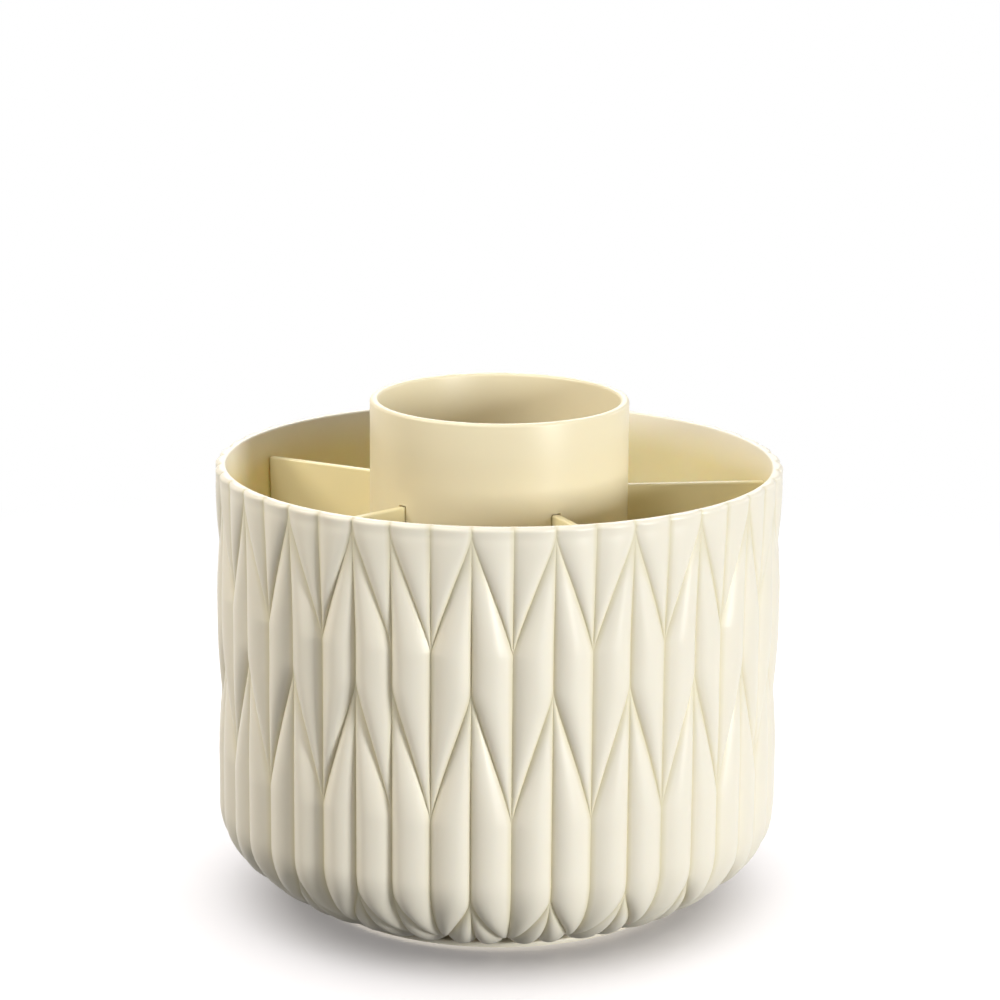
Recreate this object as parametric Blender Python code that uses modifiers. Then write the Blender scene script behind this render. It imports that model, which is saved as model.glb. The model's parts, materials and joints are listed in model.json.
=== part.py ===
# Rotating makeup brush holder.
# A round cup with a leaf relief turns on a caged ball race over a plain round base plate.
# Metres, +Z up. The turning axis is the world Z axis and the table is z = 0.
import math

import bmesh
import bpy
from mathutils import Matrix

# Overall sizes of the cup
rim_radius = 0.0725
rim_height = 0.1148
rim_land_width = 0.0028
rim_edge_round = 0.0004
inner_wall_draft = 0.0021
floor_thickness = 0.0025
inner_corner_radius = 0.0140

# Rounded lower corner of the cup, an ellipse in section, and the foot ring that it ends on
foot_ring_radius = 0.0425
corner_height = 0.0240

# Leaf relief on the outside of the cup: depth, rows and share values
relief_depth = 0.0024
relief_full_drop = 0.0360
relief_end_round = 0.0014
relief_rim_share = 0.58
relief_foot_share = 0.75
leaf_growth_power = 1.25
leaf_tail_power = 0.90
leaf_crown_share = 0.46
leaf_columns = 45
leaf_turn_share = 0.0153
leaf_cuts = 3
row_1_shares = (0.017, 0.368)
row_2_shares = (0.466, 0.835)
row_3_shares = (0.170, 0.830)

# Skirt, floor bosses and pivot boss under the cup
skirt_width = 0.0035
skirt_gap = 0.0003
boss_height = 0.0035
boss_radius = 0.0032
pivot_boss_radius = 0.0040

# Central tube and the ring that locates it on the floor
tube_inner_radius = 0.0308
tube_wall = 0.0022
tube_rise = 0.0163
tube_edge_round = 0.0008
locating_ring_width = 0.0016
locating_ring_height = 0.0020

# Divider panels between tube and wall
divider_count = 5
divider_thickness = 0.0020
divider_drop = 0.0070
divider_slot_depth = 0.0010
divider_edge_round = 0.0005
divider_turn_share = 0.0194

# Base plate
base_overhang = 0.0049
base_flange_thickness = 0.0013
base_plate_thickness = 0.0026
base_edge_round = 0.0005
hub_wall = 0.0040
hub_web = 0.0016
hub_recess_clearance = 0.0008

# Ball race
race_inset = 0.0055
ball_count = 12
ball_radius = 0.0020
race_groove_depth = 0.0010
turntable_thickness = 0.0020
turntable_groove_depth = 0.0008
turntable_bore_clearance = 0.0020
cage_width = 0.0072
cage_thickness = 0.0016

# Rubber feet
foot_count = 4
foot_drop = 0.0008
foot_radius = 0.0050
foot_inset = 0.0079
foot_pocket_depth = 0.0008
foot_edge_round = 0.0003

# Screws and washer
plate_screw_count = 3
plate_screw_inset = 0.0045
plate_screw_shank_radius = 0.0013
plate_screw_head_radius = 0.0028
plate_screw_head_height = 0.0015
pivot_screw_shank_radius = 0.0016
pivot_screw_head_radius = 0.0036
pivot_screw_head_height = 0.0016
screw_blind_floor = 0.0020
screw_edge_round = 0.0004
screw_recess_width = 0.0007
screw_recess_depth = 0.0007
screw_recess_share = 0.62
washer_radius = 0.0072
washer_thickness = 0.0008

# Clearances
fit_gap = 0.0003
running_gap = 0.0005
pivot_running_gap = 0.0001
overcut = 0.0020

# Mesh fineness
ring_steps = 60
plate_steps = 48
small_steps = 16
ball_steps = 12
ball_rings = 6
groove_cuts = 4
corner_steps = 4
merge_distance = 0.00001
shade_angle = math.radians(35)
leaf_shade_angle = math.radians(55)

# Radii that follow from the sizes above
rim_inner_radius = rim_radius - rim_land_width
lower_inner_radius = rim_inner_radius - inner_wall_draft
corner_width = rim_radius - foot_ring_radius
skirt_inner_radius = foot_ring_radius - skirt_width
tube_outer_radius = tube_inner_radius + tube_wall
base_radius = foot_ring_radius + base_overhang
foot_circle_radius = base_radius - foot_inset
race_radius = skirt_inner_radius - race_inset
groove_radius = ball_radius + fit_gap
hub_recess_radius = washer_radius + hub_recess_clearance
hub_radius = hub_recess_radius + hub_wall
turntable_bore_radius = hub_radius + turntable_bore_clearance
plate_screw_circle_radius = turntable_bore_radius + plate_screw_inset

# Heights that follow from the sizes above
base_underside = foot_drop
flange_top = base_underside + base_flange_thickness
base_top = base_underside + base_plate_thickness
ball_height = base_top - race_groove_depth + fit_gap + ball_radius
turntable_underside = ball_height + groove_radius - turntable_groove_depth
turntable_top = turntable_underside + turntable_thickness
boss_end = turntable_top + fit_gap
floor_underside = boss_end + boss_height
floor_top = floor_underside + floor_thickness
skirt_bottom = flange_top + skirt_gap
corner_top = skirt_bottom + corner_height
wall_drop = rim_height - corner_top
foot_relief = relief_depth * relief_foot_share
pivot_boss_end = skirt_bottom + foot_relief
washer_top = pivot_boss_end - fit_gap
tube_top = rim_height + tube_rise
divider_top = rim_height - divider_drop
inner_corner_top = floor_top + inner_corner_radius
row_1_start, row_1_end = [share * wall_drop for share in row_1_shares]
row_2_start, row_2_end = [share * wall_drop for share in row_2_shares]
row_3_start, row_3_end = [wall_drop + share * corner_height for share in row_3_shares]


def clear_scene():
    for obj in list(bpy.data.objects):
        bpy.data.objects.remove(obj, do_unlink=True)


def make_collection(name):
    home = bpy.data.collections.new(name)
    bpy.context.scene.collection.children.link(home)
    return home


def make_material(name, colour, roughness, metallic):
    material = bpy.data.materials.new(name)
    material.use_nodes = True
    shader = material.node_tree.nodes["Principled BSDF"]
    shader.inputs["Base Color"].default_value = (colour[0], colour[1], colour[2], 1)
    shader.inputs["Roughness"].default_value = roughness
    shader.inputs["Metallic"].default_value = metallic
    material.diffuse_color = (colour[0], colour[1], colour[2], 1)
    return material


def rest_in(obj, home):
    for other in list(obj.users_collection):
        other.objects.unlink(obj)
    home.objects.link(obj)


def arc(centre_r, centre_z, radius, start, end, steps):
    """Points on a circular arc in the section plane, angles in degrees from +r towards +Z."""
    points = []
    for i in range(steps + 1):
        angle = math.radians(start + (end - start) * i / steps)
        points.append((centre_r + radius * math.cos(angle), centre_z + radius * math.sin(angle)))
    return points


def object_from_bmesh(name, mesh_data, home):
    mesh = bpy.data.meshes.new(name)
    mesh_data.to_mesh(mesh)
    mesh_data.free()
    obj = bpy.data.objects.new(name, mesh)
    home.objects.link(obj)
    return obj


def bake(obj):
    """Replace the object's mesh by its evaluated mesh and drop its modifiers."""
    graph = bpy.context.evaluated_depsgraph_get()
    mesh = bpy.data.meshes.new_from_object(obj.evaluated_get(graph))
    old = obj.data
    obj.modifiers.clear()
    obj.data = mesh
    mesh.name = obj.name
    if old.users == 0:
        bpy.data.meshes.remove(old)


def turned(name, profile, closed, steps, home):
    """A solid of revolution about Z. The profile runs outward, down its outer side and back."""
    mesh = bpy.data.meshes.new(name)
    edges = [(i, i + 1) for i in range(len(profile) - 1)]
    if closed:
        edges.append((len(profile) - 1, 0))
    mesh.from_pydata([(point[0], 0, point[1]) for point in profile], edges, [])
    obj = bpy.data.objects.new(name, mesh)
    home.objects.link(obj)
    screw = obj.modifiers.new("Turn", "SCREW")
    screw.axis = "Z"
    screw.angle = 2 * math.pi
    screw.steps = steps
    screw.render_steps = steps
    screw.use_merge_vertices = True
    screw.merge_threshold = merge_distance
    bake(obj)
    return obj


def rod(name, radius, low, high, centre_x, centre_y, steps, home):
    """A plain upright cylinder between two heights."""
    bpy.ops.mesh.primitive_cylinder_add(vertices=steps, radius=radius, depth=high - low)
    obj = bpy.context.object
    obj.name = name
    obj.data.name = name
    obj.data.transform(Matrix.Translation((centre_x, centre_y, (low + high) / 2)))
    rest_in(obj, home)
    return obj


def block(name, size_x, size_y, size_z, centre, turn, home):
    """A box, moved to its centre and then turned about Z by an angle."""
    bpy.ops.mesh.primitive_cube_add(size=1)
    obj = bpy.context.object
    obj.name = name
    obj.data.name = name
    scale = Matrix.Diagonal((size_x, size_y, size_z, 1))
    obj.data.transform(Matrix.Rotation(turn, 4, "Z") @ Matrix.Translation(centre) @ scale)
    rest_in(obj, home)
    return obj


def combine(obj, other, operation):
    step = obj.modifiers.new(other.name, "BOOLEAN")
    step.operation = operation
    step.solver = "EXACT"
    step.object = other


def cutter_home_setup(home):
    for obj in home.objects:
        obj.hide_render = True
        obj.display_type = "WIRE"


def shade_round(obj, angle=shade_angle):
    for face in obj.data.polygons:
        face.use_smooth = True
    obj.data.set_sharp_from_angle(angle=angle)


def relief_at(drop):
    """Depth of the leaf relief at a distance down the wall, or along the lower corner."""
    if drop <= wall_drop:
        grown = min(1, drop / relief_full_drop)
        return relief_depth * (relief_rim_share + (1 - relief_rim_share) * grown)
    along = (drop - wall_drop) / corner_height
    return relief_depth * (1 - (1 - relief_foot_share) * along)


def envelope_at(drop):
    """Outermost section of the cup and its outward normal at a distance down the wall."""
    if drop <= wall_drop:
        return rim_radius, rim_height - drop, 1, 0
    angle = math.pi / 2 * (drop - wall_drop) / corner_height
    r = foot_ring_radius + corner_width * math.cos(angle)
    z = corner_top - corner_height * math.sin(angle)
    normal_r = math.cos(angle) / corner_width
    normal_z = -math.sin(angle) / corner_height
    length = math.hypot(normal_r, normal_z)
    return r, z, normal_r / length, normal_z / length


def leans_right(column):
    """Leaves lean right and left by turns; an odd count leaves one pair leaning the same way."""
    if column >= leaf_columns - 2:
        return column == leaf_columns - 2
    return column % 2 == 0


def edge_share(drop, start, end):
    return min(1, max(0, (drop - start) / (end - start)))


def leaf_levels():
    """Heights of the mesh rows down the cup, as distances along its section."""
    middle_1 = (row_1_start + row_1_end) / 2
    middle_2 = (row_2_start + row_2_end) / 2
    levels = [0, row_1_start, middle_1, row_1_end, row_2_start, middle_2, row_2_end]
    levels += [wall_drop, row_3_start]
    for i in range(1, corner_steps):
        levels.append(row_3_start + (row_3_end - row_3_start) * i / corner_steps)
    levels += [row_3_end, wall_drop + corner_height]
    return levels


def leaf_point(column, drop, across, height, inset):
    """A point of the relief: across is 0 to 1 over the column, height is above the valleys."""
    r, z, normal_r, normal_z = envelope_at(drop)
    sunk = relief_at(drop) - height + inset
    r -= normal_r * sunk
    z -= normal_z * sunk
    share = across if leans_right(column) else 1 - across
    turn = 2 * math.pi * ((column + share) / leaf_columns - leaf_turn_share)
    return (r * math.sin(turn), -r * math.cos(turn), z)


def leaf_row(mesh_data, column, drop, left, right, inset):
    """One line of vertices across a leaf, or its single end point."""
    width = right - left
    if width <= 0:
        return [mesh_data.verts.new(leaf_point(column, drop, left, 0, inset))]
    power = leaf_tail_power if left > 0 else leaf_growth_power
    skew = math.log(1 / 2) / math.log(leaf_crown_share)
    row = []
    for i in range(leaf_cuts + 1):
        share = i / leaf_cuts
        crown = relief_at(drop) * width ** power * (1 - (2 * share ** skew - 1) ** 2)
        place = leaf_point(column, drop, left + width * share, crown, inset)
        row.append(mesh_data.verts.new(place))
    return row


def skin_between(mesh_data, upper, lower):
    if len(upper) == 1 and len(lower) == 1:
        return
    if len(upper) == 1:
        for i in range(leaf_cuts):
            mesh_data.faces.new((upper[0], lower[i], lower[i + 1]))
        return
    if len(lower) == 1:
        for i in range(leaf_cuts):
            mesh_data.faces.new((upper[i], lower[0], upper[i + 1]))
        return
    for i in range(leaf_cuts):
        mesh_data.faces.new((upper[i], lower[i], lower[i + 1], upper[i + 1]))


def build_leaf(mesh_data, column, levels, grow, shrink, first):
    """One leaf: it widens from a point on one side of its column and ends on the other side."""
    previous = None
    if first:
        previous = leaf_row(mesh_data, column, 0, 0, 1, rim_edge_round)
        levels = [rim_edge_round] + levels[1:]
    for drop in levels:
        right = 1 if grow is None else edge_share(drop, grow[0], grow[1])
        left = 0 if shrink is None else edge_share(drop, shrink[0], shrink[1])
        if grow is not None and drop < grow[0]:
            continue
        if shrink is not None and drop > shrink[1]:
            break
        row = leaf_row(mesh_data, column, drop, left, right, 0)
        if previous is not None:
            skin_between(mesh_data, previous, row)
        previous = row
    return previous


def build_cup_blank(home):
    """The cup as a solid block, with the leaf relief on its side and flat ends."""
    mesh_data = bmesh.new()
    levels = leaf_levels()
    rows = [(row_1_start, row_1_end), (row_2_start, row_2_end), (row_3_start, row_3_end)]
    cap_radius = foot_ring_radius - relief_end_round
    for column in range(leaf_columns):
        build_leaf(mesh_data, column, levels, None, rows[0], True)
        build_leaf(mesh_data, column, levels, rows[0], rows[1], False)
        build_leaf(mesh_data, column, levels, rows[1], rows[2], False)
        last = build_leaf(mesh_data, column, levels, rows[2], None, False)
        inner = []
        for vert in last:
            length = math.hypot(vert.co.x, vert.co.y)
            scale = cap_radius / length
            inner.append(mesh_data.verts.new((vert.co.x * scale, vert.co.y * scale, pivot_boss_end)))
        skin_between(mesh_data, last, inner)
    bmesh.ops.remove_doubles(mesh_data, verts=mesh_data.verts[:], dist=merge_distance)
    open_edges = [edge for edge in mesh_data.edges if edge.is_boundary]
    bmesh.ops.holes_fill(mesh_data, edges=open_edges, sides=0)
    bmesh.ops.recalc_face_normals(mesh_data, faces=mesh_data.faces[:])
    return object_from_bmesh("outer_shell", mesh_data, home)


def build_cup(home, cutters):
    shell = build_cup_blank(home)
    ring_outer = tube_inner_radius - fit_gap
    ring_inner = ring_outer - locating_ring_width
    ring_top = floor_top + locating_ring_height
    draft_top = rim_height + overcut
    slope = inner_wall_draft / (rim_height - inner_corner_top)
    mouth_radius = rim_inner_radius + slope * overcut
    corner_centre = lower_inner_radius - inner_corner_radius
    profile = [(0, draft_top), (mouth_radius, draft_top)]
    profile += arc(corner_centre, inner_corner_top, inner_corner_radius, 0, -90, 6)
    profile += [(ring_outer, floor_top), (ring_outer, ring_top), (ring_inner, ring_top)]
    profile += [(ring_inner, floor_top), (0, floor_top)]
    cavity = turned("cut_cup_inside", profile, False, ring_steps, cutters)
    combine(shell, cavity, "DIFFERENCE")

    below = base_underside - overcut
    profile = [(pivot_boss_radius, floor_underside), (skirt_inner_radius, floor_underside)]
    profile += [(skirt_inner_radius, below), (pivot_boss_radius, below)]
    hollow = turned("cut_cup_underside", profile, True, plate_steps, cutters)
    combine(shell, hollow, "DIFFERENCE")

    hole_top = floor_top - screw_blind_floor
    hole = rod("cut_pivot_hole", pivot_screw_shank_radius + fit_gap, below, hole_top, 0, 0,
               small_steps, cutters)
    combine(shell, hole, "DIFFERENCE")
    for i in range(plate_screw_count):
        x, y = on_circle(plate_screw_circle_radius, i, plate_screw_count, 0)
        boss = rod("add_screw_boss_%d" % (i + 1), boss_radius, boss_end,
                   floor_underside + floor_thickness / 2, x, y, small_steps, cutters)
        combine(shell, boss, "UNION")
        hole = rod("cut_screw_hole_%d" % (i + 1), plate_screw_shank_radius + fit_gap,
                   boss_end - overcut, hole_top, x, y, small_steps, cutters)
        combine(shell, hole, "DIFFERENCE")
    bake(shell)
    shade_round(shell, leaf_shade_angle)
    return shell


def on_circle(radius, index, count, turn_share):
    angle = 2 * math.pi * (index / count + turn_share)
    return radius * math.cos(angle), radius * math.sin(angle)


def build_tube(home, cutters):
    low = floor_top + fit_gap
    round_z = tube_top - tube_edge_round
    profile = arc(tube_inner_radius + tube_edge_round, round_z, tube_edge_round, 180, 90, 3)
    profile += arc(tube_outer_radius - tube_edge_round, round_z, tube_edge_round, 90, 0, 3)
    profile += [(tube_outer_radius, low), (tube_inner_radius, low)]
    tube = turned("centre_tube", profile, True, ring_steps, home)
    slot_reach = tube_outer_radius - divider_slot_depth
    slot_centre = slot_reach + overcut / 2
    slot_high = divider_top + fit_gap
    slot_low = low - overcut
    for i in range(divider_count):
        turn = 2 * math.pi * (i / divider_count + divider_turn_share)
        centre = (slot_centre, 0, (slot_low + slot_high) / 2)
        slot = block("cut_tube_slot_%d" % (i + 1), overcut, divider_thickness + 2 * fit_gap,
                     slot_high - slot_low, centre, turn, cutters)
        combine(tube, slot, "DIFFERENCE")
    bake(tube)
    shade_round(tube)
    return tube


def build_divider(index, home):
    """A flat panel whose outer side follows the cup's wall and its rounded inner corner."""
    slope = inner_wall_draft / (rim_height - inner_corner_top)
    inner_r = tube_outer_radius - divider_slot_depth + fit_gap
    outer_r = lower_inner_radius + slope * (divider_top - inner_corner_top) - fit_gap
    corner_centre = lower_inner_radius - inner_corner_radius
    outline = [(inner_r, divider_top), (outer_r, divider_top)]
    outline += arc(corner_centre, inner_corner_top, inner_corner_radius - fit_gap, 0, -90, 6)
    outline += [(inner_r, floor_top + fit_gap)]
    curve = bpy.data.curves.new("divider_outline", "CURVE")
    curve.dimensions = "2D"
    curve.fill_mode = "BOTH"
    curve.extrude = divider_thickness / 2
    spline = curve.splines.new("POLY")
    spline.points.add(len(outline) - 1)
    for point, place in zip(spline.points, outline):
        point.co = (place[0], place[1], 0, 1)
    spline.use_cyclic_u = True
    flat = bpy.data.objects.new("divider_outline", curve)
    home.objects.link(flat)
    graph = bpy.context.evaluated_depsgraph_get()
    mesh = bpy.data.meshes.new_from_object(flat.evaluated_get(graph))
    bpy.data.objects.remove(flat, do_unlink=True)
    mesh_data = bmesh.new()
    mesh_data.from_mesh(mesh)
    bpy.data.meshes.remove(mesh)
    bmesh.ops.remove_doubles(mesh_data, verts=mesh_data.verts[:], dist=merge_distance)
    bmesh.ops.dissolve_limit(mesh_data, angle_limit=math.radians(1), verts=mesh_data.verts[:],
                             edges=mesh_data.edges[:])
    upright = Matrix.Rotation(math.pi / 2, 4, "X")
    turn = 2 * math.pi * (index / divider_count + divider_turn_share)
    bmesh.ops.transform(mesh_data, matrix=Matrix.Rotation(turn, 4, "Z") @ upright,
                        verts=mesh_data.verts[:])
    bmesh.ops.recalc_face_normals(mesh_data, faces=mesh_data.faces[:])
    panel = object_from_bmesh("divider_panel_%d" % (index + 1), mesh_data, home)
    bevel = panel.modifiers.new("Rounded edges", "BEVEL")
    bevel.width = divider_edge_round
    bevel.segments = 2
    bevel.limit_method = "ANGLE"
    bevel.angle_limit = math.radians(40)
    bake(panel)
    shade_round(panel)
    return panel


def build_base_plate(home, cutters):
    """Plain round plate with a thin flange, the lower race groove and a hub for the pivot."""
    plateau_radius = skirt_inner_radius - running_gap
    bore = pivot_boss_radius + pivot_running_gap
    web_underside = pivot_boss_end
    hub_top = web_underside + hub_web
    groove_rise = ball_height - base_top
    groove_half = math.degrees(math.acos(groove_rise / groove_radius))
    profile = [(bore, hub_top), (hub_radius, hub_top), (hub_radius, base_top)]
    profile += arc(race_radius, ball_height, groove_radius, -90 - groove_half,
                   -90 + groove_half, groove_cuts)
    profile += [(plateau_radius, base_top), (plateau_radius, flange_top)]
    profile += arc(base_radius - base_edge_round, flange_top - base_edge_round, base_edge_round,
                   90, 0, 2)
    profile += [(base_radius, base_underside), (hub_recess_radius, base_underside)]
    profile += [(hub_recess_radius, web_underside), (bore, web_underside)]
    plate = turned("base_plate", profile, True, plate_steps, home)
    for i in range(foot_count):
        x, y = on_circle(foot_circle_radius, i, foot_count, 1 / (2 * foot_count))
        pocket = rod("cut_foot_pocket_%d" % (i + 1), foot_radius + fit_gap, base_underside - overcut,
                     base_underside + foot_pocket_depth, x, y, small_steps, cutters)
        combine(plate, pocket, "DIFFERENCE")
    bake(plate)
    shade_round(plate)
    return plate


def build_foot(index, home):
    thickness = foot_drop + foot_pocket_depth - fit_gap
    profile = [(0, thickness), (foot_radius, thickness), (foot_radius, foot_edge_round)]
    profile += [(foot_radius - foot_edge_round, 0), (0, 0)]
    foot = turned("rubber_foot_%d" % (index + 1), profile, False, small_steps, home)
    x, y = on_circle(foot_circle_radius, index, foot_count, 1 / (2 * foot_count))
    foot.data.transform(Matrix.Translation((x, y, 0)))
    shade_round(foot)
    return foot


def build_turntable(home, cutters):
    """Flat ring under the cup's floor, with the upper race groove in its underside."""
    outer = skirt_inner_radius - running_gap
    groove_drop = ball_height - turntable_underside
    groove_half = math.degrees(math.acos(-groove_drop / groove_radius))
    profile = [(turntable_bore_radius, turntable_top), (outer, turntable_top)]
    profile += [(outer, turntable_underside)]
    profile += arc(race_radius, ball_height, groove_radius, 90 - groove_half,
                   90 + groove_half, groove_cuts)
    profile += [(turntable_bore_radius, turntable_underside)]
    plate = turned("turntable_plate", profile, True, plate_steps, home)
    for i in range(plate_screw_count):
        x, y = on_circle(plate_screw_circle_radius, i, plate_screw_count, 0)
        hole = rod("cut_plate_hole_%d" % (i + 1), plate_screw_shank_radius + fit_gap,
                   turntable_underside - overcut, turntable_top + overcut, x, y, small_steps,
                   cutters)
        combine(plate, hole, "DIFFERENCE")
    bake(plate)
    shade_round(plate)
    return plate


def build_cage(home, cutters):
    """Flat ring with one round pocket for each ball."""
    low = ball_height - cage_thickness / 2
    high = ball_height + cage_thickness / 2
    inner = race_radius - cage_width / 2
    outer = race_radius + cage_width / 2
    profile = [(inner, high), (outer, high), (outer, low), (inner, low)]
    cage = turned("ball_cage", profile, True, plate_steps, home)
    for i in range(ball_count):
        x, y = on_circle(race_radius, i, ball_count, 0)
        pocket = rod("cut_ball_pocket_%d" % (i + 1), groove_radius, low - overcut, high + overcut,
                     x, y, small_steps, cutters)
        combine(cage, pocket, "DIFFERENCE")
    bake(cage)
    shade_round(cage)
    return cage


def build_ball(index, home):
    bpy.ops.mesh.primitive_uv_sphere_add(segments=ball_steps, ring_count=ball_rings,
                                         radius=ball_radius)
    ball = bpy.context.object
    ball.name = "bearing_ball_%02d" % (index + 1)
    ball.data.name = ball.name
    x, y = on_circle(race_radius, index, ball_count, 0)
    ball.data.transform(Matrix.Translation((x, y, ball_height)))
    rest_in(ball, home)
    shade_round(ball)
    return ball


def build_screw(name, shank_radius, head_radius, head_height, head_top, tip, x, y, home, cutters):
    """Pan-head screw standing head down, with a cross recess in its head."""
    head_bottom = head_top - head_height
    round_z = head_bottom + screw_edge_round
    profile = [(0, tip), (shank_radius / 2, tip), (shank_radius, tip - shank_radius)]
    profile += [(shank_radius, head_top), (head_radius, head_top)]
    profile += arc(head_radius - screw_edge_round, round_z, screw_edge_round, 0, -90, 3)
    profile += [(0, head_bottom)]
    screw = turned(name, profile, False, small_steps, home)
    span = 2 * head_radius * screw_recess_share
    for i in range(2):
        centre = (0, 0, head_bottom)
        slot = block("cut_%s_recess_%d" % (name, i + 1), span, screw_recess_width,
                     2 * screw_recess_depth, centre, i * math.pi / 2, cutters)
        combine(screw, slot, "DIFFERENCE")
    bake(screw)
    screw.data.transform(Matrix.Translation((x, y, 0)))
    shade_round(screw)
    return screw


def build_washer(home):
    low = washer_top - washer_thickness
    bore = pivot_screw_shank_radius + fit_gap
    profile = [(bore, washer_top), (washer_radius, washer_top), (washer_radius, low), (bore, low)]
    washer = turned("pivot_washer", profile, True, small_steps, home)
    shade_round(washer)
    return washer


def paint(objects, name, colour, roughness, metallic):
    for obj in objects:
        material = make_material(name % obj.name, colour, roughness, metallic)
        obj.data.materials.clear()
        obj.data.materials.append(material)


def main():
    clear_scene()
    home = make_collection("rotating_makeup_brush_holder")
    cutters = make_collection("cutters")

    shell = build_cup(home, cutters)
    tube = build_tube(home, cutters)
    dividers = [build_divider(i, home) for i in range(divider_count)]
    turntable = build_turntable(home, cutters)
    cage = build_cage(home, cutters)
    balls = [build_ball(i, home) for i in range(ball_count)]
    base = build_base_plate(home, cutters)
    feet = [build_foot(i, home) for i in range(foot_count)]
    washer = build_washer(home)
    hole_top = floor_top - screw_blind_floor
    screws = [build_screw("pivot_screw", pivot_screw_shank_radius, pivot_screw_head_radius,
                          pivot_screw_head_height, washer_top - washer_thickness - fit_gap,
                          hole_top - fit_gap, 0, 0, home, cutters)]
    for i in range(plate_screw_count):
        x, y = on_circle(plate_screw_circle_radius, i, plate_screw_count, 0)
        screws.append(build_screw("plate_screw_%d" % (i + 1), plate_screw_shank_radius,
                                  plate_screw_head_radius, plate_screw_head_height,
                                  turntable_underside - fit_gap, hole_top - fit_gap, x, y, home,
                                  cutters))
    cutter_home_setup(cutters)

    paint([shell], "%s_ivory_plastic", (0.86, 0.81, 0.70), 0.32, 0)
    paint([tube] + dividers, "%s_ivory_plastic", (0.84, 0.78, 0.66), 0.35, 0)
    paint([base], "%s_ivory_plastic", (0.83, 0.79, 0.69), 0.38, 0)
    paint([turntable], "%s_white_plastic", (0.80, 0.80, 0.78), 0.40, 0)
    paint([cage], "%s_natural_nylon", (0.74, 0.72, 0.64), 0.45, 0)
    paint(balls, "%s_polished_steel", (0.75, 0.76, 0.78), 0.12, 1)
    paint(screws, "%s_zinc_plated_steel", (0.66, 0.67, 0.69), 0.30, 1)
    paint([washer], "%s_zinc_plated_steel", (0.62, 0.63, 0.65), 0.35, 1)
    paint(feet, "%s_grey_rubber", (0.10, 0.10, 0.10), 0.85, 0)


main()
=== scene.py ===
import json
import math
from collections import namedtuple

import bmesh
import bpy
from mathutils import Matrix, Vector

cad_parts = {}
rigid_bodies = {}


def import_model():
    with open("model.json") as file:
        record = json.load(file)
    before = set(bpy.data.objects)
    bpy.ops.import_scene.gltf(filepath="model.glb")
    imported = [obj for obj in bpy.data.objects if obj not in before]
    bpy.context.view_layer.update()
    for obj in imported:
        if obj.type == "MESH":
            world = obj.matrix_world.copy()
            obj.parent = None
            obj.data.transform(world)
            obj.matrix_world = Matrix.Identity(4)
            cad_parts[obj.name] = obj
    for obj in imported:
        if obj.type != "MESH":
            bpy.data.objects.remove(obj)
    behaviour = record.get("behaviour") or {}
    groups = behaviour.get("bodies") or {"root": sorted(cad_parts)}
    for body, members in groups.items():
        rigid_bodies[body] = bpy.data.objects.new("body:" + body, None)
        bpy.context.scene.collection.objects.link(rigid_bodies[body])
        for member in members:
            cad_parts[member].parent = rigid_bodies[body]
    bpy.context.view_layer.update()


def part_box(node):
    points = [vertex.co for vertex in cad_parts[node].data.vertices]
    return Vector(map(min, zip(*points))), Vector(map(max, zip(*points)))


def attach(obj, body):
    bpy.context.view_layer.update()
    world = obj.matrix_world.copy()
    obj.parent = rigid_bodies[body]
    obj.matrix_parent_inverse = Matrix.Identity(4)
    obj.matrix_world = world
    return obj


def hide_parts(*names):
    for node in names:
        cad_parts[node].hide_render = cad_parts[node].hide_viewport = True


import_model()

# Rotating makeup brush holder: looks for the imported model.
# A round ivory cup with a leaf relief, five dividers and a tall central tube,
# turning on a caged ball race over a plain round base plate. Metres, +Z up.

bl_info = {
    "name": "Rotating Makeup Brush Holder",
    "version": (1, 0, 0),
    "blender": (4, 5, 0),
    "location": "3D View > Sidebar > Brush Holder",
    "description": "Builds a rotating makeup brush holder, its finishes and its studio",
    "category": "Object",
}

BASE_BODY, RACE_BODY, CUP_BODY = "base", "ball_race", "cup"
FULL_TURN = 2 * math.pi
WELD_DISTANCE = 0.000001


def number_prop(name, default, description, **limits):
    return bpy.props.FloatProperty(name=name, default=default, description=description, **limits)


def size_prop(name, default, description):
    return number_prop(name, default, description, min=0, precision=5,
                       subtype="DISTANCE", unit="LENGTH")


def share_prop(name, default, description):
    return number_prop(name, default, description, min=0, max=1, precision=3, subtype="FACTOR")


def angle_prop(name, degrees, description):
    return number_prop(name, math.radians(degrees), description, subtype="ANGLE", unit="ROTATION")


def power_prop(name, default, description):
    return number_prop(name, default, description, min=0, unit="POWER")


def colour_prop(name, default, description):
    return bpy.props.FloatVectorProperty(name=name, default=default, description=description,
                                         size=3, min=0, max=1, subtype="COLOR")


def count_prop(name, default, description):
    return bpy.props.IntProperty(name=name, default=default, description=description, min=1)


def bottom_of(node):
    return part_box(node)[0].z


def top_of(node):
    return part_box(node)[1].z


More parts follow.
